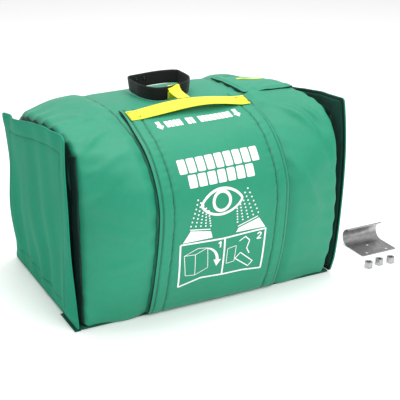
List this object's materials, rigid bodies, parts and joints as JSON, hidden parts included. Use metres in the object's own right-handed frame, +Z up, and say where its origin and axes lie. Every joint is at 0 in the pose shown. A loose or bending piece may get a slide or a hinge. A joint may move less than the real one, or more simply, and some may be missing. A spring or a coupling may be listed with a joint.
{
  "type": "portable eyewash station",
  "caption": "Gravity-fed portable eyewash tank in a padded green jacket with a pull-down front flap and arm, end panels, a fill flap and loose fixing hardware.",
  "frame": {"origin": "middle of the jacket's footprint, on the floor under the base sheet", "axes": "+X along the jacket's length towards the loose hardware, +Y from the front flap to the back, +Z up"},
  "size_m": [1.0495, 0.6104, 0.5555],
  "materials": {
    "green_fabric": "coated woven nylon, soft sheen",
    "dark_green_loop": "fuzzy loop pile",
    "yellow_webbing": "woven tape",
    "black_webbing": "woven tape",
    "snap_metal": "nickel plated",
    "tank_plastic": "moulded polyethylene",
    "yellow_plastic": "moulded",
    "black_plastic": "moulded",
    "white_plastic": "moulded",
    "rubber": "moulded",
    "insulation_batting": "quilted batting",
    "stainless_steel": "brushed",
    "brass": "machined"
  },
  "bodies": {
    "station": {"jacket_body": "green_fabric", "base_sheet": "dark_green_loop", "flap_root": "green_fabric", "hook_strip_left": "dark_green_loop", "hook_strip_right": "dark_green_loop", "left_closure_tab": "dark_green_loop", "right_closure_tab": "dark_green_loop", "tank": "tank_plastic", "cap_gasket": "rubber", "drain_gasket": "rubber", "back_insulation": "insulation_batting", "left_insulation": "insulation_batting", "right_insulation": "insulation_batting", "front_left_insulation": "insulation_batting", "front_right_insulation": "insulation_batting", "top_insulation": "insulation_batting", "pivot_plate": "stainless_steel", "valve_plate": "stainless_steel", "pivot_bushing": "black_plastic", "valve_body": "brass", "supply_pipe": "white_plastic", "supply_gasket": "rubber"},
    "arm": {"arm_tray": "yellow_plastic", "arm_manifold": "white_plastic", "valve_spool": "brass", "spool_rings": "rubber", "pivot_pin": "stainless_steel", "left_spray_head": "white_plastic", "right_spray_head": "white_plastic", "left_cover_pin": "stainless_steel", "right_cover_pin": "stainless_steel"},
    "left_cover": {"left_dust_cover": "yellow_plastic"},
    "right_cover": {"right_dust_cover": "yellow_plastic"},
    "flap": {"front_flap": "green_fabric", "flap_band_left": "green_fabric", "flap_band_right": "green_fabric", "pull_strap": "yellow_webbing"},
    "handle": {"handle_loop": "black_webbing", "handle_snaps": "snap_metal", "pull_tab": "yellow_webbing"},
    "fill_lid": {"fill_flap": "green_fabric", "fill_tape": "yellow_webbing"},
    "cap": {"fill_cap": "black_plastic"},
    "drain": {"drain_plug": "black_plastic"},
    "left_panel": {"left_end_panel": "green_fabric", "left_panel_lining": "dark_green_loop"},
    "right_panel": {"right_end_panel": "green_fabric", "right_panel_lining": "dark_green_loop"},
    "bracket": {"hook_bracket": "stainless_steel"},
    "spacer_a": {"spacer_1": "stainless_steel"},
    "spacer_b": {"spacer_2": "stainless_steel"},
    "spacer_c": {"spacer_3": "stainless_steel"}
  },
  "joints": [
    {"name": "arm_pivot", "type": "hinge", "parent": "station", "child": "arm", "pos_m": [0, -0.15, 0.075], "axis": [1, 0, 0], "range_deg": [0, 80]},
    {"name": "front_flap_fold", "type": "hinge", "parent": "station", "child": "flap", "pos_m": [0, -0.2966, 0.06], "axis": [1, 0, 0], "range_deg": [0, 88]},
    {"name": "left_cover_flip", "type": "hinge", "parent": "arm", "child": "left_cover", "pos_m": [-0.06, -0.101, 0.324], "axis": [1, 0, 0], "range_deg": [0, 98]},
    {"name": "right_cover_flip", "type": "hinge", "parent": "arm", "child": "right_cover", "pos_m": [0.06, -0.101, 0.324], "axis": [1, 0, 0], "range_deg": [0, 98]},
    {"name": "handle_swing", "type": "hinge", "parent": "flap", "child": "handle", "pos_m": [-0.005, -0.10962, 0.53578], "axis": [1, 0, 0], "range_deg": [0, 80]},
    {"name": "fill_flap_fold", "type": "hinge", "parent": "station", "child": "fill_lid", "pos_m": [0.276, 0.128, 0.5156], "axis": [-1, 0, 0], "range_deg": [0, 110]},
    {"name": "fill_cap_turn", "type": "hinge", "parent": "station", "child": "cap", "pos_m": [0.268, 0.05, 0.43], "axis": [0, 0, 1], "range_deg": [0, 270]},
    {"name": "drain_plug_turn", "type": "hinge", "parent": "station", "child": "drain", "pos_m": [-0.08, -0.044, 0.066], "axis": [0, -1, 0], "range_deg": [0, 270]},
    {"name": "left_panel_fold", "type": "hinge", "parent": "station", "child": "left_panel", "pos_m": [-0.39, 0, 0.004], "axis": [0, -1, 0], "range_deg": [0, 90]},
    {"name": "right_panel_fold", "type": "hinge", "parent": "station", "child": "right_panel", "pos_m": [0.39, 0, 0.004], "axis": [0, 1, 0], "range_deg": [0, 65]},
    {"name": "bracket_slide", "type": "slide", "parent": "station", "child": "bracket", "axis": [1, 0, 0], "range_m": [0, 0.12]},
    {"name": "spacer_1_lift", "type": "slide", "parent": "station", "child": "spacer_a", "axis": [0, 0, 1], "range_m": [0, 0.06]},
    {"name": "spacer_2_lift", "type": "slide", "parent": "station", "child": "spacer_b", "axis": [0, 0, 1], "range_m": [0, 0.06]},
    {"name": "spacer_3_lift", "type": "slide", "parent": "station", "child": "spacer_c", "axis": [0, 0, 1], "range_m": [0, 0.06]}
  ],
  "couplings": [
    {"joint": "front_flap_fold", "follows": "arm_pivot", "ratio": 1.1},
    {"joint": "left_cover_flip", "follows": "arm_pivot", "ratio": 1.22},
    {"joint": "right_cover_flip", "follows": "arm_pivot", "ratio": 1.22}
  ]
}
